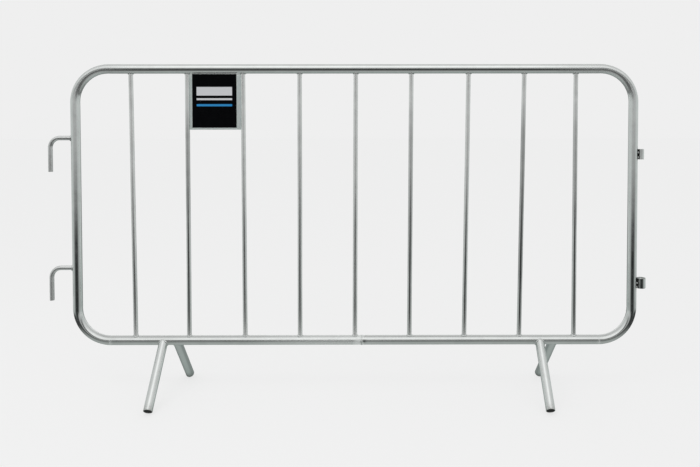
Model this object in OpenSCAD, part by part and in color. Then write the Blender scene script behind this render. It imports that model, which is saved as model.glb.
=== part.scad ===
// Pedestrian barrier panel: a bent tube loop with upright infill bars, a sign
// plate, coupling hooks and eyes, and four splayed legs. Millimetres, +Z up,
// front towards -Y. The origin is on the floor, in the middle of the whole
// footprint from the hooks' tips to the far side of the eyes.

/* [Frame] */
// Length of the frame loop, outside to outside
frame_length = 2000; // [1600:10:2400]
// Height of the frame loop, outside to outside
frame_height = 996; // [900:2:1100]
// Outside diameter of the frame tube
tube_d = 33.4; // [30:0.1:38]
// Wall of the frame and leg tube
tube_wall = 1.5; // [1.2:0.1:2.5]
// Corner bend radius, at the tube's axis
corner_r = 116; // [90:1:150]
// Closing weld of the loop, right of the frame's middle
seam_x = 23; // [15:1:60]

/* [Infill bars] */
// Outside diameter of the upright bars
bar_d = 15.9; // [12:0.1:20]
// Wall of the upright bars
bar_wall = 1.2; // [0.8:0.1:1.8]
// How much of the hand-built unevenness is kept: 0 is even and plumb
unevenness = 1; // [0:0.1:1]

/* [Sign plate] */
// Bay that holds the plate, counted by the bar on its left
plate_bay = 2; // [2:1:7]
// From the top rail's axis down to the plate's lower edge
plate_drop = 214; // [150:1:400]
// Sheet thickness
plate_t = 1.5; // [1:0.1:3]
// Width of the label
label_w = 156; // [80:1:160]
// Height of the label
label_h = 189; // [60:1:380]
// Bare strip between the left bar and the label
label_margin = 9.1; // [2:0.1:12]
// Thickness of the label
label_t = 0.3; // [0.2:0.05:0.5]

/* [Hooks] */
// Diameter of the hooks' round bar
hook_d = 15.9; // [12:0.1:18]
// Bend radius of the hooks, at the bar's axis
hook_bend_r = 34; // [20:1:40]
// Height of the upper hook's arm above the floor
upper_hook_z = 914; // [850:1:960]
// Height of the lower hook's arm above the floor
lower_hook_z = 454; // [420:1:560]
// From the upright's axis to the upper hook's pin
upper_hook_reach = 90; // [80:1:110]
// From the upright's axis to the lower hook's pin
lower_hook_reach = 91; // [80:1:110]
// From the upper arm's axis down to the pin's tip
upper_hook_drop = 119; // [80:1:140]
// From the lower arm's axis down to the pin's tip
lower_hook_drop = 116; // [80:1:140]

/* [Eyes] */
// Outside diameter of the upper eye
upper_eye_d = 22; // [20:0.1:26]
// Outside diameter of the lower eye
lower_eye_d = 31.8; // [26:0.1:34]
// Wall of both eyes
eye_wall = 1.5; // [1.2:0.1:2]
// Height of both sleeves
eye_h = 36; // [30:1:60]
// Height of the upper eye's middle above the floor
upper_eye_z = 855; // [800:1:900]
// Height of the lower eye's middle above the floor
lower_eye_z = 397; // [380:1:480]

/* [Legs] */
// Outside diameter of the leg tube
leg_d = 31; // [28:0.1:33]
// Splay of each leg from the upright
leg_splay = 45; // [35:1:50]
// From the bottom rail's axis to the middle of a plumb leg's foot
leg_len = 259.2; // [220:0.1:320]
// Left front leg, from the frame's middle
left_front_x = -680; // [-700:1:-660]
// Left rear leg, from the frame's middle
left_rear_x = -634; // [-640:1:-600]
// Right front leg, from the frame's middle
right_front_x = 656; // [600:1:660]
// Right rear leg, from the frame's middle
right_rear_x = 706; // [690:1:720]
// How far the foot plugs sit inside the leg ends
plug_recess = 0.6; // [0.2:0.1:2]

/* [Welds] */
// Leg length of the fillets at the bars
bar_weld = 2.5; // [1.5:0.1:4]
// Leg length of the fillets at the legs
leg_weld = 4; // [2:0.1:5]
// Leg length of the fillets at the hooks
hook_weld = 4; // [2:0.1:6]

/* [Hidden] */
$fn = 72;
tube_r = tube_d / 2;
bar_r = bar_d / 2;
hook_r = hook_d / 2;
half_w = (frame_length - tube_d) / 2;
rail_gap = frame_height - tube_d;
// the lowest point of a square-cut foot stands on the floor
leg_r = min(leg_d, tube_d) / 2;
rail_z = leg_len * cos(leg_splay) + leg_r * sin(leg_splay);
top_z = rail_z + rail_gap;
// gap between an eye and the upright, bridged by the tacks
eye_gap = 0.3;
reach_left = max(upper_hook_reach, lower_hook_reach) + hook_r;
reach_right = tube_r + eye_gap + max(upper_eye_d, lower_eye_d);
// the frame's middle, so that the whole footprint is centred on the origin
frame_x = (reach_left - reach_right) / 2;
bar_count = 9;
bar_pitch = 2 * half_w / (bar_count + 1);
// how far each bar was welded off its even place, at the top and the bottom rail
bar_off_top = [-1, 1, 0, 3, 4, 3, 8, 8, -7];
bar_off_bottom = [8, 1, 3, 1, -1, -4, -6, -7, -9];
// how far each leg leans sideways, in degrees: left front, left rear, right front, right rear
leg_lean = [-0.8, 0, 0, -2.5];
upper_eye_tacks = [6, -12];
lower_eye_tacks = [1, -14];
eye_weld_h = 6;

function bar_top_x(i) = -half_w + i * bar_pitch + unevenness * bar_off_top[i - 1];
function bar_bottom_x(i) = -half_w + i * bar_pitch + unevenness * bar_off_bottom[i - 1];
function bar_x_at(i, z) = bar_bottom_x(i) + (bar_top_x(i) - bar_bottom_x(i)) * (z - rail_z) / rail_gap;
function eye_x(d) = half_w + tube_r + eye_gap + d / 2;
// length of a leg that leans, so that its foot still stands on the floor
function leg_run(a) = (rail_z - leg_r * sqrt(1 - pow(cos(a) * cos(leg_splay), 2))) / (cos(a) * cos(leg_splay));
label_h_fit = min(label_h, plate_drop - tube_r - 4);

zinc = [0.74, 0.77, 0.76];
weld_grey = [0.62, 0.64, 0.63];
sheet_grey = [0.66, 0.69, 0.68];
label_black = [0.03, 0.03, 0.035];
plug_black = [0.06, 0.06, 0.06];

// ---- helpers ----

// moves a shape drawn about the frame's middle to its place over the footprint
module placed() { translate([frame_x, 0, 0]) children(); }

module rail_rod(z, r) {
    translate([0, 0, z]) rotate([0, 90, 0]) cylinder(h = 2 * half_w, r = r, center = true);
}

module upright_rod(x, r) {
    translate([x, 0, rail_z + rail_gap / 2]) cylinder(h = rail_gap, r = r, center = true);
}

// the loop of one radius: two rails, two uprights and four bends
module loop(r) {
    sx = half_w - corner_r;
    sz = rail_gap / 2 - corner_r;
    translate([0, 0, rail_z + rail_gap / 2]) {
        for (s = [-1, 1]) {
            translate([0, 0, s * rail_gap / 2]) rotate([0, 90, 0]) cylinder(h = 2 * sx, r = r, center = true);
            translate([s * half_w, 0, 0]) cylinder(h = 2 * sz, r = r, center = true);
        }
        for (k = [0 : 3])
            translate([(k == 0 || k == 3 ? 1 : -1) * sx, 0, (k < 2 ? 1 : -1) * sz])
                rotate([90, 0, 0]) rotate([0, 0, k * 90])
                    rotate_extrude(angle = 90) translate([corner_r, 0]) circle(r = r);
    }
}

// a round rod along one infill bar, from rail axis to rail axis
module bar_rod(i, r) {
    dx = bar_top_x(i) - bar_bottom_x(i);
    translate([bar_bottom_x(i), 0, rail_z]) rotate([0, atan2(dx, rail_gap), 0])
        cylinder(h = sqrt(dx * dx + rail_gap * rail_gap), r = r);
}

module infill_bar(i) {
    color(zinc) placed() difference() {
        bar_rod(i, bar_r);
        bar_rod(i, bar_r - bar_wall);
        rail_rod(rail_z, tube_r);
        rail_rod(top_z, tube_r);
    }
}

// fillets around the bars at one rail
module bar_fillets(z) {
    for (i = [1 : bar_count]) difference() {
        intersection() {
            bar_rod(i, bar_r + bar_weld);
            translate([bar_x_at(i, z), 0, z]) rotate([0, 90, 0])
                cylinder(h = 4 * bar_d, r = tube_r + bar_weld, center = true);
        }
        bar_rod(i, bar_r);
        translate([bar_x_at(i, z), 0, z]) rotate([0, 90, 0])
            cylinder(h = 5 * bar_d, r = tube_r, center = true);
    }
}

// an inverted J of round bar: arm, bend and pin with a broken edge at the tip
module hook(z, reach, drop) {
    edge = 1;
    color(zinc) placed() difference() {
        translate([-half_w, 0, z]) {
            translate([-(reach - hook_bend_r), 0, 0]) rotate([0, 90, 0]) cylinder(h = reach - hook_bend_r, r = hook_r);
            translate([-(reach - hook_bend_r), 0, -hook_bend_r]) rotate([90, 0, 0]) rotate([0, 0, 90])
                rotate_extrude(angle = 90) translate([hook_bend_r, 0]) circle(r = hook_r);
            translate([-reach, 0, -drop + edge]) cylinder(h = drop - hook_bend_r - edge, r = hook_r);
            translate([-reach, 0, -drop]) cylinder(h = edge, r1 = hook_r - edge, r2 = hook_r);
        }
        upright_rod(-half_w, tube_r);
    }
}

module hook_fillet(z) {
    difference() {
        intersection() {
            translate([-half_w - 3 * tube_r, 0, z]) rotate([0, 90, 0]) cylinder(h = 3 * tube_r, r = hook_r + hook_weld);
            translate([-half_w, 0, z]) cylinder(h = 6 * hook_d, r = tube_r + hook_weld, center = true);
        }
        translate([-half_w - 4 * tube_r, 0, z]) rotate([0, 90, 0]) cylinder(h = 4 * tube_r, r = hook_r);
        translate([-half_w, 0, z]) cylinder(h = 7 * hook_d, r = tube_r, center = true);
    }
}

module eye(z, d) {
    color(zinc) placed() translate([eye_x(d), 0, z]) difference() {
        cylinder(h = eye_h, r = d / 2, center = true);
        cylinder(h = eye_h + 2, r = d / 2 - eye_wall, center = true);
    }
}

// tacks in the crevice between an eye and the upright, front and back
module eye_tacks(z, d, heights) {
    for (h = heights, s = [-1, 1]) difference() {
        translate([half_w + tube_r + eye_gap / 2, s * 5.2, z + h]) cylinder(h = eye_weld_h, r = 3.4, center = true);
        translate([half_w, 0, z]) cylinder(h = 3 * eye_h, r = tube_r, center = true);
        translate([eye_x(d), 0, z]) cylinder(h = 3 * eye_h, r = d / 2, center = true);
    }
}

// the joint of a leg on the bottom rail's axis: local +Z runs down the leg, local +X along the rail
module leg_place(x, side) {
    translate([x, 0, rail_z]) rotate([180 + side * leg_splay, 0, 0]) children();
}

module leg(x, side, lean) {
    run = leg_run(lean);
    color(zinc) placed() leg_place(x, side) difference() {
        rotate([0, lean, 0]) cylinder(h = run, r = leg_r);
        rotate([0, lean, 0]) translate([0, 0, -1]) cylinder(h = run + 2, r = leg_r - tube_wall);
        rotate([0, 90, 0]) cylinder(h = 3 * tube_d, r = tube_r + 0.15, center = true);
    }
}

module leg_fillet(x, side, lean) {
    leg_place(x, side) difference() {
        intersection() {
            rotate([0, lean, 0]) translate([0, 0, 2]) cylinder(h = 2 * tube_d, r = leg_r + leg_weld);
            rotate([0, 90, 0]) cylinder(h = 3 * tube_d, r = tube_r + leg_weld, center = true);
        }
        rotate([0, lean, 0]) cylinder(h = 3 * tube_d, r = leg_r + 0.05);
        rotate([0, 90, 0]) cylinder(h = 4 * tube_d, r = tube_r, center = true);
    }
}

// a ribbed cup pressed into the foot, its face just inside the tube's rim
module foot_plug(x, side, lean) {
    fit_r = leg_r - tube_wall - 0.05;
    stem_r = fit_r - 1.6;
    color(plug_black) placed() leg_place(x, side) rotate([0, lean, 0])
        translate([0, 0, leg_run(lean) - plug_recess]) mirror([0, 0, 1])
        rotate_extrude() polygon([
            [0, 0], [fit_r - 1.2, 0], [fit_r, 1.2], [fit_r, 3.2],
            [stem_r, 3.6], [stem_r, 7], [fit_r, 8], [stem_r, 9],
            [stem_r, 12], [fit_r, 13], [stem_r, 14], [stem_r, 17],
            [stem_r - 1.6, 17], [stem_r - 1.6, 2.6], [0, 2.6]]);
}

// ---- pieces ----

module frame_tube() {
    color(zinc) placed() difference() {
        loop(tube_r);
        loop(tube_r - tube_wall);
    }
}

module frame_butt_weld() {
    color(weld_grey) placed() translate([seam_x, 0, rail_z]) rotate([0, 90, 0])
        rotate_extrude() translate([tube_r, 0])
            polygon([[0, -2.6], [0.35, -1.5], [0.5, 0], [0.35, 1.5], [0, 2.6]]);
}

module infill_bar_1() { infill_bar(1); }
module infill_bar_2() { infill_bar(2); }
module infill_bar_3() { infill_bar(3); }
module infill_bar_4() { infill_bar(4); }
module infill_bar_5() { infill_bar(5); }
module infill_bar_6() { infill_bar(6); }
module infill_bar_7() { infill_bar(7); }
module infill_bar_8() { infill_bar(8); }
module infill_bar_9() { infill_bar(9); }

module bar_welds_top() { color(weld_grey) placed() bar_fillets(top_z); }
module bar_welds_bottom() { color(weld_grey) placed() bar_fillets(rail_z); }

module plate_blank() {
    x0 = bar_x_at(plate_bay, top_z);
    x1 = bar_x_at(plate_bay + 1, top_z);
    translate([x0, -plate_t / 2, top_z - plate_drop]) cube([x1 - x0, plate_t, plate_drop]);
}

module sign_plate() {
    color(sheet_grey) placed() difference() {
        plate_blank();
        bar_rod(plate_bay, bar_r);
        bar_rod(plate_bay + 1, bar_r);
        rail_rod(top_z, tube_r);
    }
}

// short tacks on the back of the plate: three at each bar and two under the rail
module plate_tack_welds() {
    y = plate_t / 2 + 1.9;
    color(weld_grey) placed() {
        for (k = [0, 1], h = [45, 118, 195]) {
            z = top_z - h * plate_drop / 214;
            s = k == 0 ? 1 : -1;
            difference() {
                translate([bar_x_at(plate_bay + k, z) + s * (bar_r + 0.5), y, z]) cylinder(h = 9, r = 2.6, center = true);
                bar_rod(plate_bay + k, bar_r);
                plate_blank();
            }
        }
        for (f = [0.3, 0.7]) difference() {
            translate([bar_x_at(plate_bay, top_z) + f * bar_pitch, y, top_z - tube_r - 0.5])
                rotate([0, 90, 0]) cylinder(h = 9, r = 2.6, center = true);
            rail_rod(top_z, tube_r);
            plate_blank();
        }
    }
}

module label_sticker() {
    color(label_black) placed()
        translate([bar_x_at(plate_bay, top_z) + bar_r + label_margin, -plate_t / 2 - label_t, top_z - tube_r - 1.5 - label_h_fit])
            cube([label_w, label_t, label_h_fit]);
}

module upper_hook() { hook(upper_hook_z, upper_hook_reach, upper_hook_drop); }
module lower_hook() { hook(lower_hook_z, lower_hook_reach, lower_hook_drop); }

module hook_welds() {
    color(weld_grey) placed() {
        hook_fillet(upper_hook_z);
        hook_fillet(lower_hook_z);
    }
}

module upper_eye() { eye(upper_eye_z, upper_eye_d); }
module lower_eye() { eye(lower_eye_z, lower_eye_d); }

module eye_welds() {
    color(weld_grey) placed() {
        eye_tacks(upper_eye_z, upper_eye_d, upper_eye_tacks);
        eye_tacks(lower_eye_z, lower_eye_d, lower_eye_tacks);
    }
}

module left_front_leg() { leg(left_front_x, -1, unevenness * leg_lean[0]); }
module left_rear_leg() { leg(left_rear_x, 1, unevenness * leg_lean[1]); }
module right_front_leg() { leg(right_front_x, -1, unevenness * leg_lean[2]); }
module right_rear_leg() { leg(right_rear_x, 1, unevenness * leg_lean[3]); }

module leg_welds() {
    color(weld_grey) placed() {
        leg_fillet(left_front_x, -1, unevenness * leg_lean[0]);
        leg_fillet(left_rear_x, 1, unevenness * leg_lean[1]);
        leg_fillet(right_front_x, -1, unevenness * leg_lean[2]);
        leg_fillet(right_rear_x, 1, unevenness * leg_lean[3]);
    }
}

module left_front_foot_plug() { foot_plug(left_front_x, -1, unevenness * leg_lean[0]); }
module left_rear_foot_plug() { foot_plug(left_rear_x, 1, unevenness * leg_lean[1]); }
module right_front_foot_plug() { foot_plug(right_front_x, -1, unevenness * leg_lean[2]); }
module right_rear_foot_plug() { foot_plug(right_rear_x, 1, unevenness * leg_lean[3]); }

frame_tube();
frame_butt_weld();
infill_bar_1();
infill_bar_2();
infill_bar_3();
infill_bar_4();
infill_bar_5();
infill_bar_6();
infill_bar_7();
infill_bar_8();
infill_bar_9();
bar_welds_top();
bar_welds_bottom();
sign_plate();
plate_tack_welds();
label_sticker();
upper_hook();
lower_hook();
hook_welds();
upper_eye();
lower_eye();
eye_welds();
left_front_leg();
left_rear_leg();
right_front_leg();
right_rear_leg();
leg_welds();
left_front_foot_plug();
left_rear_foot_plug();
right_front_foot_plug();
right_rear_foot_plug();
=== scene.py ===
import bmesh
import bpy
import math
import numpy as np
from mathutils import Matrix, Vector


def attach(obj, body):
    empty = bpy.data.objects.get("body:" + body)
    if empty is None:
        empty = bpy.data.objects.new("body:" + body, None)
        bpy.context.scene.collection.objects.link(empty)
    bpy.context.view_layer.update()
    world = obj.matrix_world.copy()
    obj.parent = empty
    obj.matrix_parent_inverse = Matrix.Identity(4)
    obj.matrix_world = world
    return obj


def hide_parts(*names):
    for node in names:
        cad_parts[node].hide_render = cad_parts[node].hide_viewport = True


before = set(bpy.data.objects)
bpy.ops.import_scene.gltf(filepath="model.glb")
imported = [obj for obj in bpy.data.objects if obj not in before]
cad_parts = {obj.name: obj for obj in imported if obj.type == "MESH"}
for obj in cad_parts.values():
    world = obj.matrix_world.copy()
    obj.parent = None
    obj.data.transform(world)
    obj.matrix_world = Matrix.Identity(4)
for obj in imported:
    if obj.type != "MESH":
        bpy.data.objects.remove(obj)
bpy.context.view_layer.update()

# ------------------------------------------------------------------ sizes, in metres

MM = 0.001
TUBE_R, TUBE_WALL, CORNER_R = 16.7 * MM, 1.5 * MM, 116 * MM
BAR_R, BAR_WALL = 7.95 * MM, 1.2 * MM
HALF_W, RAIL_GAP = 983.3 * MM, 962.6 * MM
LEG_R, LEG_LEN, SPLAY = 15.5 * MM, 259.2 * MM, math.radians(45)
RAIL_Z = LEG_LEN * math.cos(SPLAY) + LEG_R * math.sin(SPLAY)
TOP_Z = RAIL_Z + RAIL_GAP
FRAME_X = 25.075 * MM
SEAM_X = 23 * MM
BAR_PITCH = 2 * HALF_W / 10
OFF_TOP = [-1, 1, 0, 3, 4, 3, 8, 8, -7]
OFF_BOTTOM = [8, 1, 3, 1, -1, -4, -6, -7, -9]
BAR_HAZE = [0.17, 0.02, 0.13, 0.09, 0.18, 0.04, 0.06, 0.0, 0.02]
# painted shade on some bars' upper parts: how strong, and where along the bar it starts and is full
BAR_PAINTED_SHADE = {2: (0.66, 0.40, 0.54), 4: (0.25, 0.54, 0.66), 6: (0.46, 0.20, 0.32), 8: (0.85, 0.14, 0.28), 9: (0.55, 0.37, 0.50)}
PLATE_T, PLATE_DROP = 1.5 * MM, 214 * MM
LABEL_W, LABEL_H, LABEL_T, LABEL_MARGIN = 156 * MM, 189 * MM, 0.3 * MM, 9.1 * MM
HOOK_R, HOOK_BEND = 7.95 * MM, 34 * MM
HOOKS = {"upper_hook": (914 * MM, 90 * MM, 119 * MM), "lower_hook": (454 * MM, 91 * MM, 116 * MM)}
EYE_H, EYE_WALL, EYE_GAP = 36 * MM, 1.5 * MM, 0.3 * MM
EYES = {"upper_eye": (855 * MM, 11 * MM, (6, -12)), "lower_eye": (397 * MM, 15.9 * MM, (1, -14))}
LEGS = {"left_front": (-680 * MM, -1, -0.8), "left_rear": (-634 * MM, 1, 0.0), "right_front": (656 * MM, -1, 0.0), "right_rear": (706 * MM, 1, -2.5)}
X, Y, Z = np.eye(3)


def bar_ends(i):
    """Where bar i meets the axes of the bottom and the top rail."""
    x = FRAME_X - HALF_W + i * BAR_PITCH
    return np.array([x + OFF_BOTTOM[i - 1] * MM, 0, RAIL_Z]), np.array([x + OFF_TOP[i - 1] * MM, 0, TOP_Z])


def unit(v):
    v = np.asarray(v, float)
    return v / np.linalg.norm(v, axis=-1, keepdims=True)


def wander(t, seed, waves=5, low=1.0, high=6.0, closed=False):
    """A smooth seeded curve of t within about -1 to 1. With closed it repeats when t goes from 0 to 1."""
    rng = np.random.RandomState(seed)
    out = np.zeros_like(np.asarray(t, float))
    for _ in range(waves):
        k = rng.randint(int(low), int(high) + 1) if closed else rng.uniform(low, high)
        out += rng.uniform(0.4, 1.0) * np.sin(2 * math.pi * (k * np.asarray(t) + rng.rand()))
    return out / waves * 1.4


# ------------------------------------------------------------------ mesh building


class Shell:
    """Rings of points and the faces between them. Each point also holds its place on the straightened bar
    (along it, and across its section), which the materials use for drawn lines, how worn it is (below zero: how
    dull, which in places is painted shade), and how blackened by welding or by painted shade (below zero: how much it
    was buffed after welding)."""

    def __init__(self):
        self.co, self.along, self.wear, self.soot, self.faces = [], [], [], [], []

    def ring(self, pts, along=None, wear=0.0, soot=0.0):
        pts = np.asarray(pts, float)
        first = len(self.co)
        self.co.extend(pts.tolist())
        self.along.extend(np.asarray(pts if along is None else along, float).tolist())
        self.wear.extend(np.broadcast_to(np.asarray(wear, float), len(pts)).tolist())
        self.soot.extend(np.broadcast_to(np.asarray(soot, float), len(pts)).tolist())
        return np.arange(first, first + len(pts))

    def skin(self, a, b):
        self.faces.extend(zip(a.tolist(), np.roll(a, -1).tolist(), np.roll(b, -1).tolist(), b.tolist()))

    def cap(self, ring, centre, along=None, wear=0.0):
        c = int(self.ring([centre], None if along is None else [along], wear)[0])
        self.faces.extend((int(p), int(q), c) for p, q in zip(ring, np.roll(ring, -1)))

    def build(self, name, nodes, slot, material, sharp=34):
        mesh = bpy.data.meshes.new(name)
        mesh.from_pydata(self.co, [], self.faces)
        for key, kind, values in (("along", "FLOAT_VECTOR", np.array(self.along, np.float32)), ("wear", "FLOAT", np.array(self.wear, np.float32)),
                                  ("soot", "FLOAT", np.array(self.soot, np.float32))):
            layer = mesh.attributes.new(key, kind, "POINT")
            layer.data.foreach_set("vector" if kind == "FLOAT_VECTOR" else "value", values.ravel())
        bm = bmesh.new()
        bm.from_mesh(mesh)
        bmesh.ops.recalc_face_normals(bm, faces=bm.faces)
        limit = math.radians(sharp)
        for f in bm.faces:
            f.smooth = True
        for e in bm.edges:
            e.smooth = not (len(e.link_faces) == 2 and e.calc_face_angle() > limit)
        bm.to_mesh(mesh)
        bm.free()
        obj = bpy.data.objects.new(name, mesh)
        bpy.context.scene.collection.objects.link(obj)
        mesh.materials.append(material)
        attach(obj, "root")
        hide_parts(*nodes)
        return obj


def section(n):
    a = np.linspace(0, 2 * math.pi, n, endpoint=False)
    return np.cos(a), np.sin(a)


def saddle(phi, o, d, u, v, r, axis_o, axis_d, big_r, side):
    """Distance along d, from o, at which the lines of a small tube (radius r about o, d) meet a big tube (big_r about axis_o, axis_d)."""
    base = o + r * (np.outer(np.cos(phi), u) + np.outer(np.sin(phi), v)) - axis_o
    base = base - np.outer(base @ axis_d, axis_d)
    way = d - (d @ axis_d) * axis_d
    a, b, c = way @ way, base @ way, (base * base).sum(1) - big_r ** 2
    return (-b + side * np.sqrt(np.maximum(b * b - a * c, 0))) / a


def tube_between(shell, o, d, u, v, r_out, r_in, t0, t1, n, step, seed, ripple=0.0, wear=None, lip=0.0, bow=None, soot=None):
    """A hollow tube whose ends follow t0 and t1 (distance along d for each line of the section). lip breaks the outer
    edge at the t1 end, and bow(t) shifts its axis off the straight line."""
    cs, sn = section(n)
    outward = np.outer(cs, u) + np.outer(sn, v)

    def at(r, t):
        r, t = np.broadcast_to(r, n), np.broadcast_to(t, n)
        pts = o + outward * r[:, None] + np.outer(t, d)
        if bow is not None:
            pts = pts + bow(t)
        w = 0.0 if wear is None else wear(t)
        black = 0.0 if soot is None else soot(t)
        return shell.ring(pts, np.stack([t + 0.37 * seed, r * cs, r * sn], 1), w, black)

    lo, hi = float(np.max(t0)), float(np.min(t1))
    stops = np.linspace(lo, hi, max(3, int((hi - lo) / step)))[1:-1]
    rings = [at(r_out, t0)]
    for t in stops:
        rings.append(at(r_out - ripple * (1 + wander(t, seed + 7)), t))
    if lip:
        rings += [at(r_out, t1 - lip), at(r_out - lip, t1), at(r_in + lip * 0.6, t1), at(r_in, t1 - lip)]
    else:
        rings += [at(r_out, t1), at(r_in, t1)]
    rings.append(at(r_in, t0))
    for a, b in zip(rings, rings[1:] + rings[:1]):
        shell.skin(a, b)


def bead(shell, pts, na, nb, rho, lift, pitch, seed, squash=0.82, m=14, start=0.0):
    """A closed weld bead along pts, in the corner between two surfaces with normals na and nb: curved ripples, uneven width, and a lump where it starts."""
    pts, na, nb = (np.asarray(x, float) for x in (pts, na, nb))
    seg = np.linalg.norm(np.roll(pts, -1, 0) - pts, axis=1)
    total = seg.sum()
    at = np.concatenate([[0], np.cumsum(seg)]) / total
    ripples = max(6, int(round(total / pitch)))
    k = ripples * 9
    s = np.arange(k) / k

    def even(a):
        a = np.vstack([a, a[:1]])
        return np.stack([np.interp(s, at, a[:, j]) for j in range(3)], 1)

    p, bis = even(pts), unit(even(unit(na + nb)))
    tan = unit(np.roll(p, -1, 0) - np.roll(p, 1, 0))
    bis = unit(bis - (bis * tan).sum(1)[:, None] * tan)
    across = np.cross(tan, bis)
    rho, lift = np.broadcast_to(rho, len(pts)), np.broadcast_to(lift, len(pts))
    lift = np.interp(s, at, np.append(lift, lift[0]))
    width = np.interp(s, at, np.append(rho, rho[0])) * (1 + 0.10 * wander(s, seed, closed=True, low=2, high=9))
    gap = np.minimum(np.abs(s - start), 1 - np.abs(s - start)) * total
    width = width * (1 + 0.22 * np.exp(-(gap / (1.6 * pitch)) ** 2))
    drift = 0.5 * wander(s, seed + 3, closed=True, low=2, high=7)
    psi = np.linspace(0, 2 * math.pi, m, endpoint=False)
    rings = []
    for i in range(k):
        phase = ripples * s[i] + drift[i] - 0.42 * np.sin(psi) ** 2
        saw = phase - np.floor(phase)
        r = width[i] * (1 + 0.085 * (np.sin(math.pi * saw) ** 0.8 - 0.6))
        q = p[i] + lift[i] * bis[i] + np.outer(np.cos(psi) * r * squash, bis[i]) + np.outer(np.sin(psi) * r, across[i])
        rings.append(shell.ring(q, q))
    for a, b in zip(rings, rings[1:] + rings[:1]):
        shell.skin(a, b)


def tack(shell, centre, way, out, length, r, seed, m=18, k=22):
    """A short weld tack: a lump that runs along way and bulges towards out."""
    way, out = unit(way), unit(out)
    across = np.cross(way, out)
    psi = np.linspace(0, 2 * math.pi, m, endpoint=False)
    u = np.linspace(-1, 1, k + 2)
    lump = 1 + 0.08 * wander((u + 1) / 2, seed, low=1, high=4)
    rings = []
    for i in range(1, k + 1):
        saw = (u[i] * length / 2) / (1.9 * MM) - 0.35 * np.sin(psi) ** 2
        fat = r * math.sqrt(1 - u[i] ** 2) ** 0.7 * lump[i] * (1 + 0.07 * np.sin(2 * math.pi * saw))
        q = centre + u[i] * length / 2 * way + np.outer(np.cos(psi) * fat, out) + np.outer(np.sin(psi) * fat, across)
        rings.append(shell.ring(q, q))
    for a, b in zip(rings, rings[1:]):
        shell.skin(a, b)
    shell.cap(rings[0], centre - length / 2 * way)
    shell.cap(rings[-1], centre + length / 2 * way)


# ------------------------------------------------------------------ materials


class Paint:
    """Short hands for a material's node tree."""

    def __init__(self, name):
        self.mat = bpy.data.materials.new(name)
        self.mat.use_nodes = True
        self.tree = self.mat.node_tree
        self.tree.nodes.clear()
        self.out = self.node("ShaderNodeOutputMaterial")
        self.bsdf = self.node("ShaderNodeBsdfPrincipled")
        self.link(self.bsdf.outputs[0], self.out.inputs[0])

    def node(self, kind, **props):
        n = self.tree.nodes.new(kind)
        for key, value in props.items():
            setattr(n, key, value)
        return n

    def link(self, a, b):
        self.tree.links.new(a, b)

    def put(self, socket, value):
        if hasattr(value, "is_output"):
            self.link(value, socket)
        else:
            socket.default_value = value

    def set(self, **values):
        for key, value in values.items():
            self.put(self.bsdf.inputs[key.replace("_", " ")], value)

    def attribute(self, name, out="Vector"):
        return self.node("ShaderNodeAttribute", attribute_name=name).outputs[out]

    def place(self):
        return self.node("ShaderNodeTexCoord").outputs["Object"]

    def scaled(self, vector, scale):
        n = self.node("ShaderNodeMapping")
        self.link(vector, n.inputs["Vector"])
        n.inputs["Scale"].default_value = scale
        return n.outputs[0]

    def noise(self, vector, scale, detail=3.0, rough=0.55, distort=0.0):
        n = self.node("ShaderNodeTexNoise")
        self.link(vector, n.inputs["Vector"])
        for key, value in (("Scale", scale), ("Detail", detail), ("Roughness", rough), ("Distortion", distort)):
            n.inputs[key].default_value = value
        return n.outputs["Fac"]

    def cells(self, vector, scale):
        n = self.node("ShaderNodeTexVoronoi")
        self.link(vector, n.inputs["Vector"])
        n.inputs["Scale"].default_value = scale
        return n.outputs

    def fit(self, value, a, b, c, d):
        n = self.node("ShaderNodeMapRange")
        self.link(value, n.inputs[0])
        for i, x in enumerate((a, b, c, d)):
            n.inputs[i + 1].default_value = x
        return n.outputs[0]

    def math(self, op, a, b=0.0, c=0.0):
        n = self.node("ShaderNodeMath", operation=op)
        for i, x in enumerate((a, b, c)):
            self.put(n.inputs[i], x)
        return n.outputs[0]

    def mix(self, fac, a, b, blend="MIX"):
        n = self.node("ShaderNodeMix", data_type="RGBA", blend_type=blend)
        self.put(n.inputs[0], fac)
        self.put(n.inputs[6], a)
        self.put(n.inputs[7], b)
        return n.outputs[2]

    def bump(self, height, strength, distance, normal=None):
        n = self.node("ShaderNodeBump")
        n.inputs["Strength"].default_value = strength
        n.inputs["Distance"].default_value = distance
        self.link(height, n.inputs["Height"])
        if normal is not None:
            self.link(normal, n.inputs["Normal"])
        return n.outputs[0]


def grey(v, tint=(1.0, 1.0, 1.0)):
    return (v * tint[0], v * tint[1], v * tint[2], 1.0)


COOL = (0.972, 1.0, 0.984)


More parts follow.
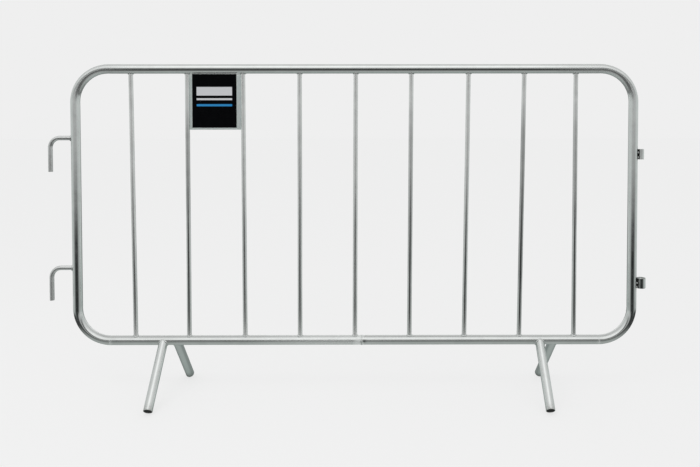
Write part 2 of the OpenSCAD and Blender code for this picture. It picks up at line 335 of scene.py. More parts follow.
def zinc(name, bright=0.89, dull=0.80, rough=0.085, lines=1100.0, line_depth=0.5, tint=COOL, dull_rough=0.30):
    """Bright zinc on drawn steel: fine lines along the bar, cloudy patches, a few hairline scratches, scuffs where it
    is worn, and painted shade where the points are marked for it.
    """
    p = Paint(name)
    along, place = p.attribute("along"), p.place()
    drawn = p.noise(p.scaled(along, (7.0, lines, lines)), 1.0, 3.0, 0.6)
    broad = p.noise(p.scaled(along, (3.0, 140.0, 140.0)), 1.0, 2.0, 0.5)
    cloud = p.noise(place, 21.0, 5.0, 0.62, 0.6)
    grain = p.cells(place, 420.0)["Color"]
    hair = p.noise(p.scaled(along, (16.0, 95.0, 95.0)), 1.0, 2.0, 0.5, 1.6)
    hair = p.fit(p.math("ABSOLUTE", p.math("SUBTRACT", hair, 0.5)), 0.0, 0.006, 1.0, 0.0)
    hair = p.math("MULTIPLY", hair, p.fit(p.noise(place, 9.0, 2.0), 0.52, 0.62, 0.0, 1.0))
    worn = p.attribute("wear", "Fac")
    wear = p.math("MULTIPLY", p.math("MAXIMUM", worn, 0.0), p.fit(p.noise(place, 150.0, 4.0, 0.7), 0.36, 0.62, 0.0, 1.0))
    # below-zero wear gives duller grey zinc; on the bottom rail's top and the bars' upper parts this is painted shade
    dull_and_shade_zone = p.math("MULTIPLY", p.math("MAXIMUM", p.math("MULTIPLY", worn, -1.0), 0.0), p.fit(p.noise(place, 13.0, 3.0, 0.5), 0.25, 0.65, 0.82, 1.0))
    sooty = p.attribute("soot", "Fac")
    buffed = p.math("MULTIPLY", p.math("MAXIMUM", p.math("MULTIPLY", sooty, -1.0), 0.0), p.fit(p.noise(p.scaled(place, (1.0, 6.0, 6.0)), 55.0, 3.0, 0.55), 0.25, 0.65, 0.82, 1.0))
    # above zero: weld blackening, and painted shade in the gaps beside the eyes and on the feet's undersides
    soot = p.math("MULTIPLY", p.math("MAXIMUM", sooty, 0.0), p.fit(p.noise(place, 210.0, 4.0, 0.65), 0.25, 0.60, 0.45, 1.0))
    speck = p.fit(p.noise(place, 900.0, 2.0, 0.5), 0.70, 0.78, 0.0, 1.0)

    colour = p.mix(p.fit(cloud, 0.34, 0.70, 0.0, 1.0), grey(bright, tint), grey(dull, tint))
    colour = p.mix(p.fit(drawn, 0.30, 0.75, 0.0, 0.30), colour, grey(dull * 0.86, tint))
    colour = p.mix(0.055, colour, grain, "OVERLAY")
    colour = p.mix(p.math("MULTIPLY", speck, 0.30), colour, grey(0.42))
    colour = p.mix(p.math("MULTIPLY", hair, 0.40), colour, grey(0.93))
    colour = p.mix(dull_and_shade_zone, colour, grey(0.50, tint))
    colour = p.mix(p.math("MULTIPLY", buffed, 0.8), colour, grey(0.88, tint))
    colour = p.mix(p.math("MULTIPLY", wear, 0.62), colour, (0.27, 0.262, 0.245, 1.0))
    # near-black: weld blackening, and the painted shade
    colour = p.mix(p.math("MULTIPLY", soot, 0.94), colour, (0.022, 0.021, 0.019, 1.0))
    shine = p.math("ADD", p.fit(cloud, 0.30, 0.72, rough - 0.035, rough + 0.055), p.fit(drawn, 0.2, 0.8, -0.015, 0.035))
    shine = p.math("ADD", shine, p.math("MULTIPLY", hair, 0.16))
    shine = p.math("ADD", shine, p.math("MULTIPLY", wear, 0.30))
    shine = p.math("ADD", shine, p.math("MULTIPLY", dull_and_shade_zone, dull_rough))
    shine = p.math("ADD", shine, p.math("MULTIPLY", soot, 0.40))
    shine = p.math("ADD", shine, p.math("MULTIPLY", buffed, 0.42))
    normal = p.bump(broad, 0.22, 0.00035)
    normal = p.bump(drawn, line_depth, 0.00002, normal)
    normal = p.bump(p.noise(place, 17.0, 2.0, 0.5), 0.10, 0.0016, normal)
    p.set(Base_Color=colour, Roughness=shine, Metallic=p.math("MULTIPLY_ADD", buffed, -0.42, 1.0), Normal=normal)
    return p.mat


def weld_zinc(name):
    """Weld metal under the same zinc: duller, grainier, with fine darker specks."""
    p = Paint(name)
    place = p.place()
    fine = p.noise(place, 1500.0, 3.0, 0.6)
    cloud = p.noise(place, 160.0, 4.0, 0.6)
    colour = p.mix(p.fit(cloud, 0.3, 0.7, 0.0, 1.0), grey(0.84, COOL), grey(0.66, COOL))
    colour = p.mix(p.fit(fine, 0.55, 0.75, 0.0, 0.35), colour, grey(0.40))
    p.set(Base_Color=colour, Roughness=p.fit(cloud, 0.25, 0.75, 0.26, 0.46), Metallic=1.0, Normal=p.bump(fine, 0.45, 0.00012))
    return p.mat


def zinc_sheet(name, top):
    """Satin zinc-coated sheet: rolling lines across it, faint stains and rub marks, and a white zinc bloom along the welded top edge."""
    p = Paint(name)
    place = p.place()
    axes = p.node("ShaderNodeSeparateXYZ")
    p.link(place, axes.inputs[0])
    bloom = p.math("MULTIPLY", p.fit(axes.outputs["Z"], top - 9 * MM, top - 2 * MM, 0.0, 1.0), p.fit(p.noise(place, 110.0, 3.0, 0.6), 0.25, 0.60, 0.7, 1.0))
    rolled = p.noise(p.scaled(place, (22.0, 1.0, 1500.0)), 1.0, 3.0, 0.6)
    cloud = p.noise(place, 26.0, 5.0, 0.6, 0.4)
    spangle = p.cells(place, 190.0)["Color"]
    rub = p.noise(p.scaled(place, (160.0, 1.0, 34.0)), 1.0, 2.0, 0.5, 1.4)
    rub = p.fit(p.math("ABSOLUTE", p.math("SUBTRACT", rub, 0.5)), 0.0, 0.012, 1.0, 0.0)
    rub = p.math("MULTIPLY", rub, p.fit(p.noise(place, 30.0, 2.0), 0.5, 0.6, 0.0, 1.0))
    colour = p.mix(p.fit(cloud, 0.32, 0.7, 0.0, 1.0), grey(0.97, (0.915, 1.0, 0.98)), grey(0.86, (0.91, 1.0, 0.98)))
    colour = p.mix(0.10, colour, spangle, "OVERLAY")
    colour = p.mix(p.math("MULTIPLY", rub, 0.3), colour, grey(0.9))
    colour = p.mix(bloom, colour, grey(0.74, (0.97, 1.0, 0.99)))
    shine = p.math("ADD", p.fit(cloud, 0.3, 0.7, 0.40, 0.52), p.fit(rolled, 0.2, 0.8, -0.04, 0.05))
    shine = p.math("ADD", shine, p.math("MULTIPLY", bloom, 0.2))
    p.set(Base_Color=colour, Roughness=shine, Metallic=p.math("MULTIPLY_ADD", bloom, -0.65, 0.86), Normal=p.bump(rolled, 0.35, 0.00002, p.bump(cloud, 0.15, 0.0015)))
    return p.mat


def label_vinyl(name, x0, z0, w, h):
    """Black vinyl with three plain printed bands, fine dust and faint wiping marks."""
    p = Paint(name)
    place = p.place()
    axes = p.node("ShaderNodeSeparateXYZ")
    p.link(place, axes.inputs[0])
    px, pz = axes.outputs["X"], axes.outputs["Z"]

    def between(value, low, high, soft=0.0004):
        return p.math("MULTIPLY", p.fit(value, low - soft, low + soft, 0.0, 1.0), p.fit(value, high - soft, high + soft, 1.0, 0.0))

    inside = between(px, x0 + 0.10 * w, x0 + 0.90 * w)
    pale = p.math("MULTIPLY", inside, p.math("ADD", between(pz, z0 + 0.60 * h, z0 + 0.76 * h), between(pz, z0 + 0.515 * h, z0 + 0.55 * h)))
    blue = p.math("MULTIPLY", inside, between(pz, z0 + 0.40 * h, z0 + 0.44 * h))
    dust = p.fit(p.noise(place, 700.0, 3.0, 0.6), 0.66, 0.80, 0.0, 1.0)
    cloud = p.noise(place, 42.0, 4.0, 0.6)
    wipe = p.noise(p.scaled(place, (30.0, 1.0, 260.0)), 1.0, 3.0, 0.6, 0.8)
    ink = p.fit(p.noise(place, 2600.0, 2.0), 0.3, 0.7, 0.92, 1.0)
    colour = p.mix(p.fit(cloud, 0.3, 0.7, 0.0, 1.0), (0.0008, 0.0010, 0.0014, 1.0), (0.0016, 0.0018, 0.0023, 1.0))
    colour = p.mix(p.math("MULTIPLY", pale, ink), colour, (0.60, 0.61, 0.63, 1.0))
    colour = p.mix(p.math("MULTIPLY", blue, ink), colour, (0.030, 0.235, 0.520, 1.0))
    colour = p.mix(p.math("MULTIPLY", dust, 0.10), colour, (0.30, 0.30, 0.29, 1.0))
    shine = p.math("ADD", p.fit(wipe, 0.3, 0.7, 0.22, 0.34), p.math("MULTIPLY", dust, 0.2))
    peel = p.noise(place, 420.0, 2.0, 0.5)
    p.set(Base_Color=colour, Roughness=shine, Normal=p.bump(peel, 0.16, 0.00012))
    p.bsdf.inputs["Specular IOR Level"].default_value = 0.045
    return p.mat


def plug_plastic(name):
    """Moulded black polyethylene: fine spark texture, greyed where it drags on the ground."""
    p = Paint(name)
    place = p.place()
    fine = p.noise(place, 1900.0, 3.0, 0.6)
    cloud = p.noise(place, 130.0, 4.0, 0.6)
    scuff = p.math("MULTIPLY", p.attribute("wear", "Fac"), p.fit(p.noise(place, 380.0, 4.0, 0.7), 0.45, 0.68, 0.0, 1.0))
    colour = p.mix(p.fit(cloud, 0.3, 0.7, 0.0, 1.0), (0.0030, 0.0030, 0.0032, 1.0), (0.0062, 0.0062, 0.0065, 1.0))
    colour = p.mix(p.math("MULTIPLY", scuff, 0.30), colour, (0.050, 0.048, 0.045, 1.0))
    p.set(Base_Color=colour, Roughness=p.fit(cloud, 0.3, 0.7, 0.50, 0.66), Normal=p.bump(fine, 0.4, 0.0001))
    p.bsdf.inputs["Specular IOR Level"].default_value = 0.22
    return p.mat


TUBE = zinc("zinc_tube_finish")
BAR = zinc("zinc_bar_finish", 0.96, 0.87, 0.072, 1500.0, 0.45, (0.994, 1.0, 0.988), 0.03)
HOOK = zinc("zinc_hook_finish", 0.86, 0.76, 0.17, 1300.0, 0.6, (0.985, 1.0, 0.990))
WELD = weld_zinc("weld_finish")
SHEET = zinc_sheet("zinc_sheet_finish", TOP_Z - TUBE_R)
PLUG = plug_plastic("plug_finish")

# ------------------------------------------------------------------ frame loop


def loop_path():
    """Points round the loop from the closing weld, with the way out of the loop, and how far into a bend each one is.
    """
    sx, sz, mid = HALF_W - CORNER_R, RAIL_GAP / 2 - CORNER_R, RAIL_Z + RAIL_GAP / 2
    pts, outs, bend = [], [], []

    def line(a, b, out, step=11 * MM):
        a, b = np.array(a, float), np.array(b, float)
        n = max(2, int(round(np.linalg.norm(b - a) / step)))
        for k in range(n):
            pts.append(a + (b - a) * k / n); outs.append(np.array(out, float)); bend.append(-1.0)

    def arc(cx, cz, a0, a1, n=54):
        for k in range(n):
            t = k / n
            a = math.radians(a0 + (a1 - a0) * t)
            out = np.array([math.cos(a), 0, math.sin(a)])
            pts.append(np.array([cx, 0, cz]) + CORNER_R * out); outs.append(out); bend.append(t)

    f = FRAME_X
    line((f + SEAM_X, 0, RAIL_Z), (f + SEAM_X + 0.036, 0, RAIL_Z), (0, 0, -1), 2 * MM)
    line((f + SEAM_X + 0.036, 0, RAIL_Z), (f + sx, 0, RAIL_Z), (0, 0, -1))
    arc(f + sx, mid - sz, -90, 0)
    line((f + HALF_W, 0, mid - sz), (f + HALF_W, 0, mid + sz), (1, 0, 0))
    arc(f + sx, mid + sz, 0, 90)
    line((f + sx, 0, TOP_Z), (f - sx, 0, TOP_Z), (0, 0, 1))
    arc(f - sx, mid + sz, 90, 180)
    line((f - HALF_W, 0, mid + sz), (f - HALF_W, 0, mid - sz), (-1, 0, 0))
    arc(f - sx, mid - sz, 180, 270)
    line((f - sx, 0, RAIL_Z), (f + SEAM_X - 0.060, 0, RAIL_Z), (0, 0, -1))
    line((f + SEAM_X - 0.060, 0, RAIL_Z), (f + SEAM_X, 0, RAIL_Z), (0, 0, -1), 3 * MM)
    return np.array(pts), np.array(outs), np.array(bend)


def make_frame():
    pts, outs, bend = loop_path()
    run = np.concatenate([[0], np.cumsum(np.linalg.norm(np.diff(pts, axis=0), axis=1))])
    cs, sn = section(72)
    theta = np.linspace(0, 2 * math.pi, 72, endpoint=False)
    # distance from each point to the nearest end of a bend, for the marks that the bending tool leaves
    starts = [i for i in range(len(bend)) if bend[i] == 0.0] + [i for i in range(1, len(bend)) if bend[i - 1] >= 0 and bend[i] < 0]
    near = np.min(np.abs(run[:, None] - run[starts][None, :]), axis=1)
    sway = wander(run / run[-1], 11, waves=9, low=4, high=26, closed=True)
    seam = np.minimum(np.abs(theta - math.radians(118)), 2 * math.pi - np.abs(theta - math.radians(118))) * TUBE_R
    scarf = 0.07 * MM * np.exp(-(seam / (1.3 * MM)) ** 2)
    shell, rings = Shell(), []
    for i in range(len(pts)):
        w = 0.0
        if bend[i] >= 0:
            w = min(1.0, bend[i] / 0.16, (1 - bend[i]) / 0.16)
            w = w * w * (3 - 2 * w)
        inner = np.clip(-cs, 0, 1) ** 2
        mark = 0.30 * MM * math.exp(-(near[i] / (2.6 * MM)) ** 2) * inner
        # painted shade: the top of the bottom rail is painted duller and darker, standing in for the dimmer light it
        # mirrors
        low = max(0.0, -outs[i][2]) ** 3
        dull = -(0.42 * low * np.clip((-cs - 0.15) / 0.5, 0, 1))
        ahead, behind = run[i], run[-1] + 3 * MM - run[i]
        buff = max(math.exp(-(ahead / (9 * MM)) ** 2), math.exp(-(behind / (34 * MM)) ** 4), 0.45 * math.exp(-(behind / 0.33) ** 4), 0.14 * math.exp(-(ahead / 0.12) ** 2))
        spot = math.exp(-((ahead - 9.5 * MM) / (5.5 * MM)) ** 2) * np.exp(-((theta - math.radians(271)) / math.radians(17)) ** 2)
        dull = dull * (1 - buff)
        soot = -0.9 * buff * (1 - spot) + 1.1 * spot
        dent = 0.55 * MM * spot
        if outs[i][2] > 0:
            # the bends are duller, and so are the ends of the top rail that the bending machine held
            left, right = (max(0.0, HALF_W - CORNER_R + s * (pts[i][0] - FRAME_X)) for s in (1, -1))
            held = max(0.7 * math.exp(-(left / 0.08) ** 2), math.exp(-(right / 0.15) ** 2)) * outs[i][2] ** 4
            dull = dull - 0.34 * held
            soot = soot - max(0.24 * w, 0.22 * held)
            if PLATE_X0 < pts[i][0] < PLATE_X1 and w == 0:
                # white zinc bloom from the plate's welds, under the rail
                soot = soot - 0.36 * np.clip((-cs - 0.55) / 0.3, 0, 1)
        if outs[i][2] < -0.5:
            # the bending die bites into the outside of the tube where the low bends run into the rail
            bite = math.exp(-(near[i] / (2.2 * MM)) ** 2) * np.exp(-((theta - math.radians(286)) / math.radians(40)) ** 2)
            dent = dent + 0.42 * MM * bite
            soot = soot - 0.6 * bite
        # painted shade: the upright's side that faces each eye is painted dark over the eye's height, standing in for
        # the shade in the gap between them
        if outs[i][0] > 0.9:
            for z, r, _ in EYES.values():
                black = math.exp(-((pts[i][2] - z) / (21 * MM)) ** 6) * np.clip((cs - 0.50) / 0.22, 0, 1)
                soot = soot * (1 - black) + black
        flat = 0.45 * MM * w * np.clip(cs, 0, 1) ** 3
        r_in, r_y = TUBE_R * (1 - 0.012 * w), TUBE_R * (1 + 0.008 * w)
        shrink = scarf + mark + dent + 0.05 * MM * (1 + sway[i])
        q = pts[i] + np.outer(cs * r_in - (shrink + flat) * cs, outs[i]) + np.outer(sn * r_y - shrink * sn, Y)
        rings.append(shell.ring(q, np.stack([np.full(72, run[i]), TUBE_R * cs, TUBE_R * sn], 1), dull, soot))
    for a, b in zip(rings, rings[1:] + rings[:1]):
        shell.skin(a, b)
    shell.build("frame_tube_finish", ["frame_tube"], "zinc_tube", TUBE)

    shell = Shell()
    a = np.linspace(0, 2 * math.pi, 240, endpoint=False)
    out = np.outer(np.cos(a), Z) + np.outer(np.sin(a), Y)
    ring = np.array([FRAME_X + SEAM_X, 0, RAIL_Z]) + TUBE_R * out
    turn = a / (2 * math.pi)
    ring = ring + np.outer(0.8 * MM * wander(turn, 5, closed=True, low=2, high=6), X)
    lump = 0.5 + 0.5 * wander(turn, 17, waves=6, closed=True, low=2, high=7)
    fat = (3.0 + 1.9 * lump) * MM
    proud = (0.55 + 0.55 * lump) * MM
    bead(shell, ring, out, out, fat, proud - 0.80 * fat, 3.4 * MM, 21, squash=0.80, start=0.72)
    shell.build("frame_butt_weld_finish", ["frame_butt_weld"], "weld_metal", WELD)


# ------------------------------------------------------------------ infill bars


def bar_axes(i):
    low, high = bar_ends(i)
    d = unit(high - low)
    u = unit(X - (X @ d) * d)
    return low, high, d, u, np.cross(d, u)


def make_bars():
    n = 40
    phi = np.linspace(0, 2 * math.pi, n, endpoint=False)
    for i in range(1, 10):
        low, high, d, u, v = bar_axes(i)
        sink = 0.5 * MM
        t0 = saddle(phi, low, d, u, v, BAR_R, low, X, TUBE_R - sink, 1)
        t1 = saddle(phi, low, d, u, v, BAR_R, high, X, TUBE_R - sink, -1)
        shell = Shell()
        full = float(np.linalg.norm(high - low))

        def bow(t, i=i, full=full):
            w = np.asarray(t) / full
            held = np.clip(np.minimum(w - 0.02, (0.74 if i in (2, 3) else 0.98) - w) / 0.10, 0, 1)
            held = held * held * (3 - 2 * held)
            return np.outer(0.34 * MM * held * wander(w, 500 + i, low=0.6, high=2.6), X) + np.outer(0.52 * MM * held * wander(w, 600 + i, low=0.7, high=3.0), Y)

        def haze(t, i=i, full=full):
            # each length of bar has its own shine, and all are duller where the welding heat reached
            t = np.asarray(t)
            reach = (30 if BAR_HAZE[i - 1] > 0.06 else 17) * MM
            return -(BAR_HAZE[i - 1] * (1 + 0.5 * wander(t / full, 700 + i, low=1.0, high=4.0)) + 0.50 * np.exp(-(t - TUBE_R) / reach) + 0.30 * np.exp(-(full - TUBE_R - t) / (22 * MM)))

        def greyed(t, i=i, full=full):
            # painted shade: some lengths are painted darker over their upper part, standing in for the dark line the
            # room draws along them; all have short greyer patches
            w = np.asarray(t) / full
            much, a, b = BAR_PAINTED_SHADE.get(i, (0.0, 0.0, 1.0))
            zone = np.clip((w - a) / (b - a), 0, 1) * np.clip((0.90 - w) / 0.16, 0, 1)
            patch = np.clip(wander(w, 800 + i, waves=7, low=5.0, high=17.0), 0, 1) * np.clip(np.minimum(w, 1 - w) / 0.1, 0, 1)
            return -(much * zone * zone * (3 - 2 * zone) + 0.22 * patch)

        tube_between(shell, low, d, u, v, BAR_R, BAR_R - BAR_WALL, t0, t1, n, 9 * MM, i, ripple=0.03 * MM, wear=greyed, bow=bow, soot=haze)
        shell.build(f"infill_bar_{i}_finish", [f"infill_bar_{i}"], "zinc_bar", BAR)
    phi = np.linspace(0, 2 * math.pi, 180, endpoint=False)
    for end, name in ((0, "bar_welds_bottom"), (1, "bar_welds_top")):
        shell = Shell()
        for i in range(1, 10):
            low, high, d, u, v = bar_axes(i)
            rail = high if end else low
            t = saddle(phi, low, d, u, v, BAR_R, rail, X, TUBE_R, -1 if end else 1)
            out = np.outer(np.cos(phi), u) + np.outer(np.sin(phi), v)
            p = low + BAR_R * out + np.outer(t, d)
            nb = p - rail
            nb = unit(nb - np.outer(nb @ X, X))
            fat = (2.8 + 0.65 * wander(phi / (2 * math.pi), 40 * end + i, closed=True, low=1, high=3)) * MM
            bead(shell, p, out, nb, fat, 0.30 * MM, 2.3 * MM, 100 * end + i, start=(0.17 * i) % 1.0)
        shell.build(name + "_finish", [name], "weld_metal", WELD)


# ------------------------------------------------------------------ sign plate and label


def plate_bow(x, z):
    """How far the thin sheet bows out of its plane. It is held along both bars and under the rail."""
    u = (x - PLATE_X0) / (PLATE_X1 - PLATE_X0)
    w = (z - (TOP_Z - PLATE_DROP)) / PLATE_DROP
    held = np.clip(np.minimum(u, 1 - u) / 0.16, 0, 1)
    held = held * held * (3 - 2 * held) * np.clip((1.0 - w) / 0.25, 0, 1)
    wave = 0.5 * np.sin(2.2 * math.pi * u + 0.6) * np.cos(1.7 * math.pi * w + 0.3) + 0.35 * np.sin(3.6 * math.pi * u + 1.9) * np.sin(2.9 * math.pi * w)
    return 0.22 * MM * held * wave


def sheet_block(shell, xs_of, zs, y_front, y_back, edge, bow):
    """A thin bowed sheet with broken edges: front and back grids joined by a rim. xs_of(z) gives the row's points."""
    rows = len(zs)
    cols = len(xs_of(zs[0]))
    grids = []
    for y, inset in ((y_front, edge), (y_back, edge)):
        idx = np.zeros((rows, cols), int)
        for r, z in enumerate(zs):
            x = np.array(xs_of(z), float)
            x[0] += inset; x[-1] -= inset
            zz = z + (inset if r == 0 else -inset if r == rows - 1 else 0)
            q = np.stack([x, y + bow(x, np.full(cols, zz)), np.full(cols, zz)], 1)
            idx[r] = shell.ring(q, q)
        grids.append(idx)
    for g in grids:
        for r in range(rows - 1):
            for c in range(cols - 1):
                shell.faces.append((int(g[r, c]), int(g[r, c + 1]), int(g[r + 1, c + 1]), int(g[r + 1, c])))

    def border(g):
        return np.concatenate([g[0, :-1], g[:-1, -1], g[-1, :0:-1], g[:0:-1, 0]])

    mids = []
    ring_f, ring_b = border(grids[0]), border(grids[1])
    co = np.array(shell.co)
    flat = np.array([co[k] for k in ring_f])
    order = [(r, c) for c in range(cols - 1) for r in (0,)] + [(r, cols - 1) for r in range(rows - 1)]
    order += [(rows - 1, c) for c in range(cols - 1, 0, -1)] + [(r, 0) for r in range(rows - 1, 0, -1)]
    true = np.array([[xs_of(zs[r])[c], 0, zs[r]] for r, c in order])
    for frac in (0.0, 1.0):
        step = min(edge, abs(y_back - y_front) * 0.35)
        y = (y_front + math.copysign(step, y_back - y_front)) if frac == 0.0 else (y_back - math.copysign(step, y_back - y_front))
        q = np.stack([true[:, 0], y + bow(true[:, 0], true[:, 2]), true[:, 2]], 1)
        mids.append(shell.ring(q, q))
    for a, b in ((ring_f, mids[0]), (mids[0], mids[1]), (mids[1], ring_b)):
        shell.skin(a, b)
    return flat


def make_plate():
    low2, high2, d2, _, _ = bar_axes(2)
    low3, high3, d3, _, _ = bar_axes(3)

    def row(z):
        t = (z - RAIL_Z) / RAIL_GAP
        a = low2[0] + (high2[0] - low2[0]) * t + BAR_R - 0.15 * MM
        b = low3[0] + (high3[0] - low3[0]) * t - BAR_R + 0.15 * MM
        return np.linspace(a, b, 57)

    zs = np.linspace(TOP_Z - PLATE_DROP, TOP_Z - TUBE_R + 0.2 * MM, 61)
    shell = Shell()
    sheet_block(shell, row, zs, -PLATE_T / 2, PLATE_T / 2, 0.25 * MM, plate_bow)
    shell.build("sign_plate_finish", ["sign_plate"], "zinc_sheet", SHEET)

    x0 = high2[0] + BAR_R + LABEL_MARGIN
    z1 = TOP_Z - TUBE_R - 1.5 * MM
    z0 = z1 - LABEL_H
    shell = Shell()
    sheet_block(shell, lambda z: np.linspace(x0, x0 + LABEL_W, 53), np.linspace(z0, z1, 63), -PLATE_T / 2 - LABEL_T, -PLATE_T / 2 - 0.02 * MM, 0.07 * MM, plate_bow)
    shell.build("label_sticker_finish", ["label_sticker"], "label_vinyl", label_vinyl("label_finish", x0, z0, LABEL_W, LABEL_H))

    shell = Shell()
    y = PLATE_T / 2 + 1.2 * MM
    seed = 300
    for low, high, s in ((low2, high2, 1), (low3, high3, -1)):
        for h in (45, 118, 195):
            z = TOP_Z - h * MM
            x = low[0] + (high[0] - low[0]) * (z - RAIL_Z) / RAIL_GAP + s * (BAR_R + 0.4 * MM)
            tack(shell, np.array([x, y, z]), Z, Y + 0.8 * s * X, 10 * MM, 2.5 * MM, seed)
            seed += 1
    for f in (0.3, 0.7):
        tack(shell, np.array([high2[0] + f * BAR_PITCH, y, TOP_Z - TUBE_R - 0.4 * MM]), X, Y - 0.8 * Z, 10 * MM, 2.5 * MM, seed)
        seed += 1
    shell.build("plate_tack_welds_finish", ["plate_tack_welds"], "weld_metal", WELD)


# ------------------------------------------------------------------ hooks


def make_hooks():
    n = 40
    cs, sn = section(n)
    welds = Shell()
    for seed, (name, (z, reach, drop)) in enumerate(HOOKS.items()):
        o = np.array([FRAME_X - HALF_W, 0, z])
        path = []  # centre, way across in the hook's plane
        arm = reach - HOOK_BEND
        for t in np.linspace(TUBE_R + 3 * MM, arm, 8)[:-1]:
            path.append((o - t * X, Z))
        for a in np.linspace(0, math.pi / 2, 33):
            out = math.cos(a) * Z - math.sin(a) * X
            path.append((o - arm * X - HOOK_BEND * Z + HOOK_BEND * out, out))
        for t in np.append(np.linspace(HOOK_BEND, drop - 2.2 * MM, 12)[1:], [drop - 1.5 * MM, drop - 1.0 * MM]):
            path.append((o - reach * X - t * Z, -X))
        shell, rings = Shell(), []
        root = o + HOOK_R * (np.outer(cs, Z) + np.outer(sn, Y))
        root[:, 0] = o[0] - np.sqrt((TUBE_R - 0.5 * MM) ** 2 - root[:, 1] ** 2)
        rings.append(shell.ring(root, np.stack([np.zeros(n), HOOK_R * cs, HOOK_R * sn], 1)))
        run, last = 0.0, o - TUBE_R * X
        for k, (c, out) in enumerate(path):
            run += float(np.linalg.norm(c - last)); last = c
            b = 0.0
            if 7 <= k < 40:
                b = math.sin(math.pi * (k - 7) / 32.0) ** 0.7
            q = c + np.outer(cs * HOOK_R * (1 - 0.03 * b), out) + np.outer(sn * HOOK_R * (1 + 0.025 * b), Y)
            below = z - c[2]
            w = 0.50 * np.clip((below - 40 * MM) / (20 * MM), 0, 1)
            dim = -0.26 + 0.10 * np.clip((36 * MM - below) / (24 * MM), 0, 1)
            rings.append(shell.ring(q, np.stack([np.full(n, run + 0.9 * seed), HOOK_R * cs, HOOK_R * sn], 1), w, dim))
        tip = o - reach * X - drop * Z
        for r, up in ((HOOK_R - 0.45 * MM, 0.28 * MM), (HOOK_R - 1.0 * MM, 0.0)):
            q = tip + up * Z + np.outer(cs * r, -X) + np.outer(sn * r, Y)
            rings.append(shell.ring(q, np.stack([np.full(n, run + 0.9 * seed), r * cs, r * sn], 1), 0.8))
        for a, b in zip(rings, rings[1:]):
            shell.skin(a, b)
        shell.cap(rings[0], o - (TUBE_R - 0.5 * MM) * X)
        shell.cap(rings[-1], tip + 0.05 * MM * Z, wear=0.8)
        shell.build(name + "_finish", [name], "zinc_bar", HOOK)

        phi = np.linspace(0, 2 * math.pi, 200, endpoint=False)
        out = np.outer(np.cos(phi), Z) + np.outer(np.sin(phi), Y)
        t = saddle(phi, o, -X, Z, Y, HOOK_R, o, Z, TUBE_R, 1)
        p = o + HOOK_R * out - np.outer(t, X)
        nb = p - o
        nb = unit(nb - np.outer(nb @ Z, Z))
        fat = (2.9 - 0.7 * np.cos(phi) + 0.3 * wander(phi / (2 * math.pi), 60 + seed, closed=True, low=1, high=3)) * MM
        bead(welds, p, out, nb, fat, 0.6 * MM, 2.5 * MM, 70 + seed, start=0.4 + 0.3 * seed)
    welds.build("hook_welds_finish", ["hook_welds"], "weld_metal", WELD)


# ------------------------------------------------------------------ eyes


def make_eyes():
    n = 64
    cs, sn = section(n)
    welds = Shell()
    for seed, (name, (z, r, tacks)) in enumerate(EYES.items()):
        x = FRAME_X + HALF_W + TUBE_R + EYE_GAP + r
        c = np.array([x, 0, z])
        h, e, ri = EYE_H / 2, 0.4 * MM, r - EYE_WALL
        profile = [(r, -h + e, 0.2), (r, -h + 2 * e, 0.1), (r, -h + 3 * e, 0), (r, -h * 0.4, 0), (r, h * 0.4, 0), (r, h - 3 * e, 0), (r, h - 2 * e, 0.1), (r, h - e, 0.2), (r - 0.12 * MM, h - 0.12 * MM, 0.9), (r - e, h, 0.9), (ri + e, h, 0.9), (ri + 0.1 * MM, h - 0.12 * MM, 0.9),
                   (ri, h - e, 0.6), (ri, 0, 0.4), (ri, -h + e, 0.6), (ri + e, -h, 0.8), (r - e, -h, 0.8)]
        shell = Shell()
        rings = []
        for rr, zz, w in profile:
            q = c + zz * Z + rr * (np.outer(cs, X) + np.outer(sn, Y))
            # painted shade: the eye's side that faces the upright is painted dark, less so on its bore and rims,
            # standing in for the shade in the gap between them
            soot = np.clip((-cs - 0.42) / 0.25, 0, 1) * (1.0 if rr == r else 0.3)
            rings.append(shell.ring(q, np.stack([np.full(n, zz + seed), rr * cs, rr * sn], 1), w, soot))
        for a, b in zip(rings, rings[1:] + rings[:1]):
            shell.skin(a, b)
        shell.build(name + "_finish", [name], "zinc_tube", TUBE)
        mid = FRAME_X + HALF_W + TUBE_R + EYE_GAP / 2
        for k, dz in enumerate(tacks):
            for s in (-1, 1):
                lean = unit(np.array([0.12 * (k - 0.5), s, 0]))
                tack(welds, np.array([mid, s * (4.7 + 0.3 * seed) * MM, z + dz * MM]), Z, lean, (8.0 + k) * MM, 3.1 * MM, 400 + 10 * seed + 3 * k + s)
    welds.build("eye_welds_finish", ["eye_welds"], "weld_metal", WELD)


# ------------------------------------------------------------------ legs and plugs


def leg_axes(side, lean):
    """Way down a leg and across it. It splays to one side of the panel, and may lean a little along the rail."""
    a, b = math.pi + side * SPLAY, math.radians(lean)
    plumb = np.array([0, -math.sin(a), math.cos(a)])
    d, u = math.sin(b) * X + math.cos(b) * plumb, math.cos(b) * X - math.sin(b) * plumb
    drop = math.cos(b) * math.cos(SPLAY)
    return d, u, np.cross(d, u), (RAIL_Z - LEG_R * math.sqrt(1 - drop * drop)) / drop


